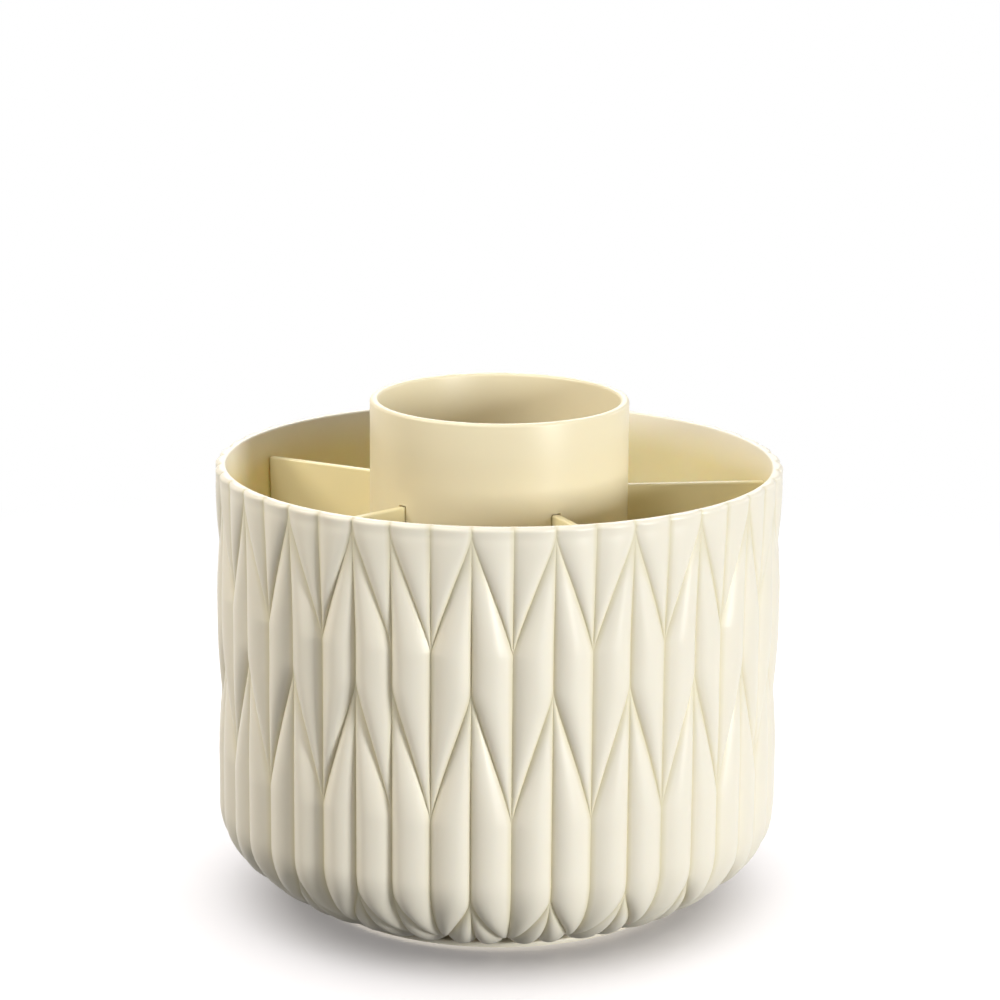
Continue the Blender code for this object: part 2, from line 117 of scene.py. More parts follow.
class BrushHolderCup(bpy.types.PropertyGroup):
    rim_radius: size_prop("Rim radius", 0.0724, "Outer radius of the cup at the leaf crowns")
    rim_height: size_prop("Rim height", 0.1148, "Height of the rim above the table")
    rim_land: size_prop("Rim land", 0.0028, "Width of the flat land on the rim")
    rim_round: size_prop("Rim rounding", 0.0011, "Rounding of the rim's outer edge")
    rim_inner_round: size_prop("Inner rim rounding", 0.0005, "Rounding of the rim's inner edge")
    wall_draft: size_prop("Wall draft", 0.0021, "Taper of the inner wall over its height")
    inner_corner: size_prop("Inner corner", 0.0140, "Radius between the inner wall and the floor")
    floor_top: size_prop("Floor height", 0.0145, "Height of the floor inside the cup")
    floor_underside: size_prop("Floor underside", 0.0120, "Height of the underside of the floor")
    foot_ring_radius: size_prop("Foot ring radius", 0.0425, "Radius that the lower corner ends on")
    corner_height: size_prop("Corner height", 0.0240, "Height of the rounded lower corner")
    foot_ring_height: size_prop("Foot ring height", 0.0024, "Height of the lowest leaf crowns")
    skirt_radius: size_prop("Skirt radius", 0.0390, "Inner radius of the skirt under the floor")
    relief_depth: size_prop("Relief depth", 0.0024, "Greatest depth of the leaf relief")
    relief_full_drop: size_prop("Relief growth", 0.0280, "Drop from the rim to full depth")
    rim_relief: share_prop("Relief at the rim", 0.36, "Share of the depth at the rim")
    foot_relief: share_prop("Relief at the foot", 0.75, "Share of the depth at the foot")
    rim_cove: size_prop("Rim cove", 0.00010, "Depth of the soft hollow just below the rim")
    rim_cove_drop: size_prop("Rim cove drop", 0.0026, "Distance of that hollow below the rim")
    rim_cove_height: size_prop("Rim cove height", 0.0013, "Half height of that hollow")
    columns: count_prop("Leaf columns", 45, "Number of leaf columns round the cup")
    turn: share_prop("Leaf turn", 0.0153, "Turn of the first column, as a share of a full turn")
    crown_place: share_prop("Leaf crown", 0.45, "Place of the crown across a leaf")


class BrushHolderInsert(bpy.types.PropertyGroup):
    tube_radius: size_prop("Tube bore", 0.0308, "Inner radius of the central tube")
    tube_wall: size_prop("Tube wall", 0.0022, "Wall of the central tube")
    tube_top: size_prop("Tube top", top_of("centre_tube"), "Height of the tube's rim")
    tube_round: size_prop("Tube rounding", 0.0008, "Rounding of the tube's rim")
    divider_count: count_prop("Dividers", 5, "Number of divider panels")
    divider_thickness: size_prop("Divider thickness", 0.0020, "Thickness of a divider panel")
    divider_top: size_prop("Divider top", top_of("divider_panel_1"), "Height of the dividers")
    divider_slot: size_prop("Divider slot", 0.0010, "Depth of the slots in the tube")
    divider_round: size_prop("Divider rounding", 0.0005, "Rounding of the divider edges")
    divider_turn: share_prop("Divider turn", 0.0194, "Turn of the first divider")
    gap: size_prop("Fitting gap", 0.0003, "Gap between pieces that touch")


class BrushHolderBase(bpy.types.PropertyGroup):
    radius: size_prop("Base radius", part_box("base_plate")[1].x, "Radius of the base plate")
    underside: size_prop("Base underside", bottom_of("base_plate"), "Height of the underside")
    flange_top: size_prop("Flange top", 0.0021, "Height of the thin outer flange")
    plate_top: size_prop("Plate top", 0.0034, "Height of the plate inside the skirt")
    plateau_radius: size_prop("Plateau radius", 0.0385, "Radius of the raised middle")
    edge_round: size_prop("Edge rounding", 0.0005, "Rounding of the flange's edge")
    hub_radius: size_prop("Hub radius", 0.0120, "Radius of the raised hub")
    hub_recess: size_prop("Hub recess", 0.0080, "Radius of the recess under the hub")
    hub_web_low: size_prop("Hub web underside", 0.0042, "Height of the recess's ceiling")
    hub_web_high: size_prop("Hub top", 0.0058, "Height of the hub's top")
    bore: size_prop("Bore", 0.0041, "Radius of the bore for the pivot boss")
    race_radius: size_prop("Race radius", 0.0335, "Radius of the circle of balls")
    ball_radius: size_prop("Ball radius", 0.0020, "Radius of a ball")
    ball_height: size_prop("Ball height", 0.0047, "Height of the ball centres")
    ball_count: count_prop("Balls", 12, "Number of balls")
    foot_count: count_prop("Feet", 4, "Number of rubber feet")
    foot_radius: size_prop("Foot radius", 0.0050, "Radius of a rubber foot")
    foot_circle: size_prop("Foot circle", 0.0395, "Radius of the circle of feet")
    screw_circle: size_prop("Screw circle", 0.0185, "Radius of the circle of plate screws")


class BrushHolderColours(bpy.types.PropertyGroup):
    shell: colour_prop("Cup", (0.860, 0.808, 0.695), "Ivory plastic of the cup")
    # Painted shade: the darker colour blended into the relief's valleys, where shade falls in the
    # creases.
    valley: colour_prop("Cup valleys", (0.725, 0.665, 0.475), "Plastic deep in the relief")
    # Painted light: a patchy warm yellow inside the cup that stands in for light bounced round
    # inside it.
    painted_bounce: colour_prop("Cup inside", (0.885, 0.780, 0.430), "Ivory plastic stained by powder")
    # The tube and dividers are yellower than the cup: partly their own ivory, partly painted warm
    # bounce light from inside the cup.
    insert: colour_prop("Tube", (0.860, 0.775, 0.560), "Ivory plastic of the tube")
    divider: colour_prop("Dividers", (0.865, 0.770, 0.480), "Ivory plastic of the dividers")
    base: colour_prop("Base", (0.850, 0.790, 0.660), "Ivory plastic of the base plate")
    turntable: colour_prop("Turntable", (0.780, 0.780, 0.750), "White plastic under the cup")
    cage: colour_prop("Ball cage", (0.720, 0.690, 0.600), "Natural nylon")
    steel: colour_prop("Balls", (0.720, 0.730, 0.750), "Polished bearing steel")
    zinc: colour_prop("Screws", (0.640, 0.655, 0.680), "Zinc plated steel")
    rubber: colour_prop("Feet", (0.035, 0.035, 0.037), "Dark grey rubber")


class BrushHolderStudio(bpy.types.PropertyGroup):
    lens: number_prop("Lens", 113.85, "Focal length", unit="CAMERA", min=1)
    distance: size_prop("Camera distance", 0.78775, "Distance from the turning axis")
    height: size_prop("Camera height", 0.29497, "Height of the camera above the table")
    around: angle_prop("Camera place", -0.428, "Angle of the camera round the holder")
    aside: angle_prop("Camera aside", -0.022, "Turn of the camera away from the turning axis")
    tilt: angle_prop("Camera tilt", 13.61, "Downward tilt of the camera")
    roll: angle_prop("Camera roll", 0.433, "Roll of the camera")
    key_power: power_prop("Key light", 7.8, "Power of the softbox in front on the right")
    left_power: power_prop("Left light", 5.0, "Power of the softbox on the left")
    back_power: power_prop("Back light", 1.1, "Power of the softbox behind on the right")
    top_power: power_prop("Top light", 4.6, "Power of the softbox above the opening")
    rear_power: power_prop("Rear light", 2.4, "Power of the softbox behind the holder")
    under_power: power_prop("Under light", 1.6, "Power of the light on the underside")
    floor_power: power_prop("Floor light", 27.0, "Power of the light that shades the floor")
    sky: number_prop("Surround", 0.03, "Strength of the even light all round", min=0)
    floor_colour: colour_prop("Floor", (0.80, 0.78, 0.79), "Colour of the floor")
    floor_glow: share_prop("Floor glow", 0.23, "Even brightness added to the floor")
    floor_bounce: share_prop("Floor bounce", 0.26, "How much light the floor throws back")
    shadow_reach: size_prop("Shadow reach", 0.45, "Distance at which the floor is plain white")


# Shared tools for meshes

# Corners of a section on the way round it: the arc's first and last angle in degrees
TOP_TO_SIDE, SIDE_TO_UNDERSIDE = (90, 0), (0, -90)
UNDERSIDE_TO_BORE, BORE_TO_TOP = (-90, -180), (180, 90)
SIDE_TO_TOP, TOP_TO_BORE = (0, 90), (90, 180)
WALL_TO_FLOOR = (180, 270)
SOFT_EDGE = 0.0003  # rounding of small turned edges
OVERSHOOT = 0.002  # how far a cutting tool passes the surface
PANEL_EDGE_ANGLE = 40


def add_to_scene(name, data):
    thing = bpy.data.objects.new(name, data)
    bpy.context.scene.collection.objects.link(thing)
    return thing


def piece_of(name, mesh_data):
    mesh = bpy.data.meshes.new(name)
    mesh_data.to_mesh(mesh)
    mesh_data.free()
    return add_to_scene(name, mesh)


def settle(piece):
    """Turn a piece and its modifiers into one plain mesh."""
    graph = bpy.context.evaluated_depsgraph_get()
    mesh = bpy.data.meshes.new_from_object(piece.evaluated_get(graph))
    piece.modifiers.clear()
    piece.data = mesh
    mesh.name = piece.name
    return piece


def arc(centre_r, centre_z, radius, start, end, steps):
    """Points on a circular arc in the section plane, angles in degrees from +r towards +Z."""
    points = []
    for i in range(steps + 1):
        angle = math.radians(start + (end - start) * i / steps)
        points.append((centre_r + radius * math.cos(angle), centre_z + radius * math.sin(angle)))
    return points


def corner(r, z, width, sides, steps=3):
    """Rounding that takes the place of a section's sharp corner at r, z."""
    start, end = (math.radians(angle) for angle in sides)
    centre_r = r - width * round(math.cos(start) + math.cos(end))
    centre_z = z - width * round(math.sin(start) + math.sin(end))
    return arc(centre_r, centre_z, width, *sides, steps)


def ring_section(inner, outer, bottom, top, soft, bore_steps=3, groove=()):
    """Section of a flat ring with soft edges, and with a groove in its underside."""
    return [*corner(inner, top, soft, BORE_TO_TOP, bore_steps),
            *corner(outer, top, soft, TOP_TO_SIDE),
            *corner(outer, bottom, soft, SIDE_TO_UNDERSIDE),
            *groove,
            *corner(inner, bottom, soft, UNDERSIDE_TO_BORE, bore_steps)]


def turned(name, profile, steps, closed=True):
    """A turned piece: its section is swept round the axis by a Screw modifier."""
    mesh = bpy.data.meshes.new(name)
    edges = [(i, i + 1) for i in range(len(profile) - 1)]
    if closed:
        edges.append((len(profile) - 1, 0))
    mesh.from_pydata([(r, 0, z) for r, z in profile], edges, [])
    piece = add_to_scene(name, mesh)
    screw = piece.modifiers.new("Turn", "SCREW")
    screw.steps = steps
    screw.use_merge_vertices = True
    screw.merge_threshold = WELD_DISTANCE * 10
    return settle(piece)


def round_places(radius, count, share=0.0):
    """Places spaced evenly on a circle, the first at a share of a full turn."""
    turns = [FULL_TURN * (i / count + share) for i in range(count)]
    return [(radius * math.cos(turn), radius * math.sin(turn)) for turn in turns]


def rods(places, radius, bottom, top, steps):
    """Upright rods, with which a piece is then cut or joined."""
    tools = []
    for x, y in places:
        bpy.ops.mesh.primitive_cylinder_add(vertices=steps, radius=radius, depth=top - bottom)
        tools.append(bpy.context.object)
        tools[-1].data.transform(Matrix.Translation((x, y, (bottom + top) / 2)))
    return tools


def block(size, centre, turn):
    """A block turned round the axis, with which a piece is then cut."""
    bpy.ops.mesh.primitive_cube_add(size=1)
    tool = bpy.context.object
    scale = Matrix.Diagonal((*size, 1))
    tool.data.transform(Matrix.Rotation(turn, 4, "Z") @ Matrix.Translation(centre) @ scale)
    return tool


def cut(piece, tools, operation="DIFFERENCE"):
    """Cut each tool out of a piece, or add it, and drop the tool."""
    for tool in tools:
        step = piece.modifiers.new(tool.name, "BOOLEAN")
        step.operation = operation
        step.solver = "EXACT"
        step.object = tool
    settle(piece)
    for tool in tools:
        bpy.data.objects.remove(tool, do_unlink=True)
    return piece


def drop_slivers(piece):
    """Take out the hair-thin faces that a cut can leave."""
    mesh = bmesh.new()
    mesh.from_mesh(piece.data)
    bmesh.ops.dissolve_degenerate(mesh, dist=WELD_DISTANCE, edges=mesh.edges[:])
    mesh.to_mesh(piece.data)
    mesh.free()


def soften(piece, width, segments):
    """Small rounding on every sharp edge of a panel."""
    bevel = piece.modifiers.new("Edges", "BEVEL")
    bevel.width = width
    bevel.segments = segments
    bevel.limit_method = "ANGLE"
    bevel.angle_limit = math.radians(PANEL_EDGE_ANGLE)
    settle(piece)


def shade_round(piece, angle=35):
    piece.data.shade_smooth()
    piece.data.set_sharp_from_angle(angle=math.radians(angle))


def give(piece, material, body, slot, *nodes):
    """Finish a piece: its material, the body it rides on and the nodes it stands for."""
    piece.data.materials.clear()
    piece.data.materials.append(material)
    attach(piece, body)
    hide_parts(*nodes)


# Finishes. Noise scales are in waves per metre, and bump distances are in metres.

class NodeBench:
    """Lays out the nodes of a material or of the world."""

    def __init__(self, owner):
        owner.use_nodes = True
        self.owner = owner
        self.tree = owner.node_tree

    def plug(self, socket, value):
        """Link a socket to an output, or set it to a number, a vector or a colour."""
        if isinstance(value, bpy.types.NodeSocket):
            self.tree.links.new(value, socket)
        elif socket.type == "RGBA":
            socket.default_value = (value[0], value[1], value[2], 1)
        else:
            socket.default_value = value

    def add(self, kind, inputs=None, **settings):
        """Add a node and return its outputs."""
        node = self.tree.nodes.new(kind)
        for name, value in settings.items():
            setattr(node, name, value)
        for key, value in (inputs or {}).items():
            self.plug(node.inputs[key], value)
        return node.outputs

    def maths(self, operation, a, b):
        return self.add("ShaderNodeMath", {0: a, 1: b}, operation=operation)[0]

    def mix(self, factor, first, second):
        return self.add("ShaderNodeMixShader", {0: factor, 1: first, 2: second})[0]

    def seen_or_mirrored(self):
        """1 for the camera's own rays and for those that a gloss or a clear piece passes on."""
        rays = self.add("ShaderNodeLightPath")
        either = self.maths("MAXIMUM", rays["Is Camera Ray"], rays["Is Glossy Ray"])
        return self.maths("MAXIMUM", either, rays["Is Transmission Ray"])


class Finish(NodeBench):
    """A material made of Blender nodes, laid out from object coordinates."""

    def __init__(self, name):
        super().__init__(bpy.data.materials.new(name))
        self.place = self.add("ShaderNodeTexCoord")["Object"]

    def noise(self, scale, detail=2.0, roughness=0.5, stretch=None):
        place = self.place
        if stretch is not None:
            place = self.add("ShaderNodeMapping", {"Vector": place, "Scale": stretch})["Vector"]
        inputs = {"Vector": place, "Scale": scale, "Detail": detail, "Roughness": roughness}
        return self.add("ShaderNodeTexNoise", inputs)["Fac"]

    def ranged(self, value, from_low, from_high, to_low, to_high):
        inputs = {"Value": value, "From Min": from_low, "From Max": from_high,
                  "To Min": to_low, "To Max": to_high}
        return self.add("ShaderNodeMapRange", inputs)["Result"]

    def spread(self, noise, low=0.0, high=1.0):
        """A noise, which mostly lies between 0.3 and 0.7, spread between two values."""
        return self.ranged(noise, 0.3, 0.7, low, high)

    def attribute(self, name):
        return self.add("ShaderNodeAttribute", attribute_name=name)["Fac"]

    def blend(self, factor, colour_a, colour_b):
        return self.add("ShaderNodeMix", {0: factor, 6: colour_a, 7: colour_b},
                        data_type="RGBA")[2]

    def bump(self, height, strength, distance, before=None):
        inputs = {"Height": height, "Strength": strength, "Distance": distance}
        if before is not None:
            inputs["Normal"] = before
        return self.add("ShaderNodeBump", inputs)["Normal"]

    def shade(self, **values):
        """Set or link the shader's sockets and return the finished material."""
        shader = self.tree.nodes["Principled BSDF"]
        for name, value in values.items():
            self.plug(shader.inputs[name.replace("_", " ")], value)
        return self.owner


def shade_of(colour, factor):
    return tuple(min(1, channel * factor) for channel in colour)


def moulded_plastic(name, colour, roughness, valley=None, painted_bounce=None):
    """Moulded ivory plastic: faint clouding, flow lines, fine grain and a few specks.
    It is darkened deep in the relief by painted shade, and inside the cup a patchy warm yellow
    stands in for painted bounce light."""
    finish = Finish(name)
    tone = finish.blend(finish.spread(finish.noise(16.0, 3.0)),
                        shade_of(colour, 0.975), shade_of(colour, 1.02))
    glow = 0.05
    if valley is not None:
        # Painted shade: towards the valleys each leaf is blended towards the darker valley colour.
        depth = finish.ranged(finish.attribute("crown"), 0.0, 0.40, 1.0, 0.0)
        tone = finish.blend(finish.maths("MULTIPLY", depth, 0.80), tone, valley)
    # Painted light: inside the cup the colour is blended in patches towards a warm yellow for
    # bounced light.
    if painted_bounce is not None:
        inside = finish.attribute("inside")
        patchy = finish.spread(finish.noise(28.0, 3.0), 0.65, 1.0)
        tone = finish.blend(finish.maths("MULTIPLY", inside, patchy), tone, painted_bounce)
        glow = finish.ranged(inside, 0.0, 1.0, glow, 0.50)
    specks = finish.add("ShaderNodeTexVoronoi", {"Vector": finish.place, "Scale": 210.0},
                        feature="F1")
    near = finish.ranged(specks["Distance"], 0.035, 0.075, 1.0, 0.0)
    picked = finish.maths("GREATER_THAN", specks["Color"], 0.93)
    mark = finish.maths("MULTIPLY", finish.maths("MULTIPLY", near, picked), 0.32)
    flow = finish.noise(60.0, 4.0, 0.6, (1.0, 1.0, 0.12))
    smudge = finish.noise(34.0, 3.0, 0.55)
    grain = finish.noise(2600.0, 2.0, 0.6)
    ripple = finish.noise(90.0, 2.0, 0.5)
    return finish.shade(
        Base_Color=finish.blend(mark, tone, shade_of(colour, 0.60)),
        Roughness=finish.maths("ADD", finish.spread(flow, -0.03, 0.03),
                               finish.spread(smudge, roughness - 0.04, roughness + 0.05)),
        Normal=finish.bump(grain, 0.10, 0.00002, finish.bump(ripple, 0.20, 0.00012)),
        IOR=1.48, Subsurface_Weight=glow, Subsurface_Scale=0.0035,
        Subsurface_Radius=(1.0, 0.72, 0.42))


def plain_plastic(name, colour, roughness, grain_scale, grain_depth):
    """Matt technical plastic with a spark-eroded grain and faint handling marks."""
    finish = Finish(name)
    return finish.shade(
        Base_Color=finish.blend(finish.spread(finish.noise(40.0, 4.0)),
                                shade_of(colour, 0.94), shade_of(colour, 1.03)),
        Roughness=finish.spread(finish.noise(120.0, 3.0, 0.6),
                                roughness - 0.07, roughness + 0.08),
        Normal=finish.bump(finish.noise(grain_scale, 3.0, 0.6), 0.35, grain_depth),
        IOR=1.50)


def bearing_steel(name, colour):
    """Polished steel with a thin smear of grease and hair-fine scratches."""
    finish = Finish(name)
    smear = finish.ranged(finish.noise(300.0, 3.0), 0.35, 0.7, 0.0, 1.0)
    scratch = finish.noise(900.0, 2.0, 0.5, (1.0, 6.0, 0.3))
    return finish.shade(
        Base_Color=finish.blend(smear, colour, shade_of(colour, 0.82)),
        Roughness=finish.ranged(smear, 0.0, 1.0, 0.08, 0.24),
        Normal=finish.bump(scratch, 0.08, 0.00001),
        Metallic=1.0)


def zinc_plate(name, colour):
    """Zinc plated steel: cloudy spangle, turning marks and slight tarnish."""
    finish = Finish(name)
    spangle = finish.spread(finish.noise(420.0, 4.0, 0.65))
    tarnished = (colour[0] * 0.92, colour[1] * 0.88, colour[2] * 0.78)
    rings = finish.noise(1500.0, 2.0, 0.5, (0.3, 0.3, 4.0))
    return finish.shade(
        Base_Color=finish.blend(finish.maths("MULTIPLY", spangle, 0.6), colour, tarnished),
        Roughness=finish.ranged(spangle, 0.0, 1.0, 0.24, 0.42),
        Normal=finish.bump(rings, 0.15, 0.00002),
        Metallic=1.0)


def foot_rubber(name, colour):
    """Soft rubber with a fine texture and a little pale dust."""
    finish = Finish(name)
    dust = finish.ranged(finish.noise(500.0, 4.0, 0.65), 0.5, 0.75, 0.0, 0.5)
    return finish.shade(
        Base_Color=finish.blend(dust, colour, (0.16, 0.155, 0.15)),
        Roughness=finish.ranged(dust, 0.0, 0.5, 0.72, 0.92),
        Normal=finish.bump(finish.noise(3200.0, 3.0, 0.6), 0.5, 0.00004),
        IOR=1.52)


# The cup

LEAF_CUTS = 12  # strips of mesh across a leaf column
# Where the leaves of each row grow over those above: shares of the wall's height, and for
# the lowest row of the rounded corner's height
WALL_ROWS = ((0.017, 0.358), (0.450, 0.832))
CORNER_ROW = (0.125, 0.830)
LEAF_EDGE, PETAL_EDGE = (0.09, 1.14), (0.22, 1.50)  # soft start and bend of the slanting edge
GROWTH_POWER, TAIL_POWER = 1.30, 0.95  # how a leaf's height follows its width
SHOULDER = 0.35  # how much fuller a narrow leaf stands
WALL_STEP, CORNER_STEP = 0.0010, 0.0005  # spacing of the mesh lines down the cup
RIM_BAND, RIM_DENSITY = 0.005, 3  # band under the rim with denser lines
RIM_ROUND_STEPS = 8
CLEAR_OF_ROUND = 1.2  # the first plain line lies this many roundings down
POINT_WIDTH = 1e-9  # a narrower leaf is a point
WALL_RINGS = 9  # bands of mesh down the inner wall
FOOT_CAP_INSET = 0.0014  # from the foot ring's crowns to the plain ring under the cup
MIDDLE_RISE = 0.25  # share of the way up at the ring between the two
LOCATING_RING_WALL, LOCATING_RING_HEIGHT = 0.0016, 0.0020
PIVOT_BOSS_RADIUS, PIVOT_HOLE_RADIUS = 0.0040, 0.0019
SCREW_COUNT = 3
SCREW_BOSS_RADIUS, SCREW_BOSS_END = 0.0032, 0.0085
SCREW_HOLE_RADIUS, SCREW_HOLE_END = 0.0016, 0.0065
HOLE_CEILING = 0.0020  # plastic left over the screw holes
BOSS_ROOT = 0.00125  # how far the screw bosses reach into the floor
INSIDE_FROM_RING = 5  # the rings after the rim's inner edge are inside the cup


class CupForm:
    """The rule of the leaf relief: where each point of the cup's outside lies."""

    def __init__(self, cup):
        self.cup = cup
        self.corner_top = cup.foot_ring_height + cup.corner_height
        self.wall_drop = cup.rim_height - self.corner_top
        self.corner_width = cup.rim_radius - cup.foot_ring_radius
        self.end_drop = self.wall_drop + cup.corner_height
        self.rows = [tuple(share * self.wall_drop for share in row) for row in WALL_ROWS]
        self.rows.append(tuple(self.wall_drop + share * cup.corner_height
                               for share in CORNER_ROW))
        self.skew = math.log(1 / 2) / math.log(cup.crown_place)

    def relief_at(self, drop):
        cup = self.cup
        if drop <= self.wall_drop:
            grown = min(1, drop / cup.relief_full_drop)
            return cup.relief_depth * (cup.rim_relief + (1 - cup.rim_relief) * grown)
        along = (drop - self.wall_drop) / cup.corner_height
        return cup.relief_depth * (1 - (1 - cup.foot_relief) * along)

    def section_at(self, drop):
        """Radius, height and outward normal of the section through the crowns."""
        cup = self.cup
        if drop <= self.wall_drop:
            return cup.rim_radius, cup.rim_height - drop, 1.0, 0.0
        angle = math.pi / 2 * (drop - self.wall_drop) / cup.corner_height
        r = cup.foot_ring_radius + self.corner_width * math.cos(angle)
        z = self.corner_top - cup.corner_height * math.sin(angle)
        normal_r = math.cos(angle) / self.corner_width
        normal_z = -math.sin(angle) / cup.corner_height
        length = math.hypot(normal_r, normal_z)
        return r, z, normal_r / length, normal_z / length

    def leans_right(self, column):
        """Leaves lean right and left by turns; an odd count leaves one pair leaning alike."""
        if column >= self.cup.columns - 2:
            return column == self.cup.columns - 2
        return column % 2 == 0

    def edge_share(self, drop, row):
        """How far a leaf's slanting edge has crossed its column."""
        share = min(1, max(0, (drop - row[0]) / (row[1] - row[0])))
        start, power = PETAL_EDGE if row is self.rows[-1] else LEAF_EDGE
        eased = (math.hypot(share, start) - start) / (math.hypot(1, start) - start)
        return 1 - (1 - eased) ** power

    def levels(self):
        """Distances down the cup's section at which the mesh has a line."""
        stops = sorted([0.0, self.wall_drop, self.end_drop] + [d for row in self.rows for d in row])
        levels = [0.0]
        for start, end in zip(stops, stops[1:]):
            step = WALL_STEP if end <= self.wall_drop else CORNER_STEP
            if start < RIM_BAND:
                step /= RIM_DENSITY
            count = max(1, math.ceil((end - start) / step))
            levels += [start + (end - start) * (i + 1) / count for i in range(count)]
        return levels

    def cove_at(self, drop):
        cup = self.cup
        offset = (drop - cup.rim_cove_drop) / cup.rim_cove_height
        return cup.rim_cove * math.exp(-offset * offset)

    def point(self, column, drop, across, crown, inset):
        r, z, normal_r, normal_z = self.section_at(drop)
        sunk = self.relief_at(drop) - crown + inset + self.cove_at(drop)
        r -= normal_r * sunk
        z -= normal_z * sunk
        share = across if self.leans_right(column) else 1 - across
        turn = FULL_TURN * ((column + share) / self.cup.columns - self.cup.turn)
        return (r * math.sin(turn), -r * math.cos(turn), z)


class CupMesher:
    """Builds the cup's mesh and marks its crowns, its inside and its valleys."""

    def __init__(self, form):
        self.form = form
        self.mesh = bmesh.new()
        self.around = form.cup.columns * LEAF_CUTS
        self.crown_layer = self.mesh.verts.layers.float.new("crown")
        self.inside_layer = self.mesh.verts.layers.float.new("inside")
        self.valley_layer = self.mesh.verts.layers.int.new("valley")

    def vertex(self, place, crown, valley):
        vert = self.mesh.verts.new(place)
        vert[self.crown_layer] = crown
        vert[self.valley_layer] = int(valley)
        return vert

    def leaf_line(self, column, drop, left, right, inset=0.0, at_drop=None):
        """Vertices across one leaf at one level, or its single end point."""
        form = self.form
        lower = drop if at_drop is None else at_drop
        width = right - left
        if width <= POINT_WIDTH:
            return [self.vertex(form.point(column, lower, left, 0.0, inset), 0.0, True)]
        height = width ** (TAIL_POWER if left > 0 else GROWTH_POWER)
        height *= 1 + SHOULDER * (1 - width * width)
        depth = form.relief_at(drop)
        line = []
        for i in range(LEAF_CUTS + 1):
            share = i / LEAF_CUTS
            swell = height * (1 - (2 * share ** form.skew - 1) ** 2)
            place = form.point(column, lower, left + width * share, depth * swell, inset)
            line.append(self.vertex(place, swell, i in (0, LEAF_CUTS)))
        return line

    def skin(self, upper, lower):
        """Faces between two lines, of which one may be a single point."""
        for i in range(max(len(upper), len(lower)) - 1):
            if len(upper) == 1:
                corners = (upper[0], lower[i], lower[i + 1])
            elif len(lower) == 1:
                corners = (upper[i], lower[0], upper[i + 1])
            else:
                corners = (upper[i], lower[i], lower[i + 1], upper[i + 1])
            self.mesh.faces.new(corners)

    def leaf(self, column, levels, grow, shrink):
        """One leaf, from the point where it starts to the point where it ends."""
        form = self.form
        lines = []
        if grow is None:
            rounding = form.cup.rim_round
            for i in range(RIM_ROUND_STEPS):
                angle = math.radians(90 * i / RIM_ROUND_STEPS)
                lines.append(self.leaf_line(column, rounding, 0, 1,
                                            rounding * (1 - math.sin(angle)),
                                            rounding * (1 - math.cos(angle))))
            levels = [rounding] + [level for level in levels if level > rounding * CLEAR_OF_ROUND]
        for drop in levels:
            if grow is not None and drop < grow[0]:
                continue
            if shrink is not None and drop > shrink[1]:
                break
            right = 1 if grow is None else form.edge_share(drop, grow)
            left = 0 if shrink is None else form.edge_share(drop, shrink)
            lines.append(self.leaf_line(column, drop, left, right))
        for upper, lower in zip(lines, lines[1:]):
            self.skin(upper, lower)

    def join(self, outer, inner):
        """Faces between two rings that run round the cup at the same angles."""
        for i in range(self.around):
            j = (i + 1) % self.around
            self.mesh.faces.new((outer[i], inner[i], inner[j], outer[j]))

    def rings(self, profile):
        """Plain turned rings at the same angles as the relief, each a full circle."""
        made = []
        for r, z in profile:
            ring = []
            for i in range(self.around):
                turn = FULL_TURN * (i / self.around - self.form.cup.turn)
                ring.append(self.vertex((r * math.sin(turn), -r * math.cos(turn), z), 1.0, False))
            made.append(ring)
        for upper, lower in zip(made, made[1:]):
            self.join(upper, lower)
        return made

    def open_ring(self, belongs):
        """The relief's open end vertices, in order round the cup."""
        ends = {}
        for vert in self.mesh.verts:
            if vert.is_boundary and belongs(vert.co.z):
                turn = math.atan2(vert.co.x, -vert.co.y) / FULL_TURN + self.form.cup.turn
                ends[round(turn * self.around) % self.around] = vert
        return [ends[i] for i in range(self.around)]


def inner_wall(cup):
    """Radii of the inner wall at the rim and at its lower end, and the height of that end."""
    rim = cup.rim_radius - cup.rim_land
    return rim, rim - cup.wall_draft, cup.floor_top + cup.inner_corner


def inner_profile(cup, insert):
    """Section of the cup's inside from the rim land down to the middle of the floor."""
    inner, lower, corner_top = inner_wall(cup)
    edge = cup.rim_inner_round
    points = corner(inner, cup.rim_height, edge, TOP_TO_BORE, 4)
    top = cup.rim_height - edge
    for i in range(1, WALL_RINGS):
        share = i / WALL_RINGS
        points.append((inner + (lower - inner) * share, top + (corner_top - top) * share))
    points += arc(lower - cup.inner_corner, corner_top, cup.inner_corner, 0, -90, 12)
    ring_outer = insert.tube_radius - insert.gap
    ring_inner = ring_outer - LOCATING_RING_WALL
    ring_top = cup.floor_top + LOCATING_RING_HEIGHT
    soft = 0.0004
    points += corner(ring_outer, cup.floor_top, soft, UNDERSIDE_TO_BORE, 2)
    points += corner(ring_outer, ring_top, soft, SIDE_TO_TOP)
    points += corner(ring_inner, ring_top, soft, TOP_TO_BORE)
    points += corner(ring_inner, cup.floor_top, soft, SIDE_TO_UNDERSIDE, 2)
    return points


def under_profile(cup):
    """Section of the cup's underside from the foot ring to the pivot hole."""
    end = cup.foot_ring_height + cup.relief_depth * cup.foot_relief
    ceiling = cup.floor_underside
    soft = 0.0005
    points = [(cup.foot_ring_radius - FOOT_CAP_INSET, end), (cup.skirt_radius + soft, end)]
    points += corner(cup.skirt_radius, end, soft, UNDERSIDE_TO_BORE, 2)[1:]
    points += corner(cup.skirt_radius, ceiling, soft, SIDE_TO_TOP)
    points += corner(PIVOT_BOSS_RADIUS, ceiling, soft, TOP_TO_BORE)
    points += corner(PIVOT_BOSS_RADIUS, end, soft / 2, SIDE_TO_UNDERSIDE, 2)
    points += [(PIVOT_HOLE_RADIUS, end), (PIVOT_HOLE_RADIUS, cup.floor_top - HOLE_CEILING)]
    return points


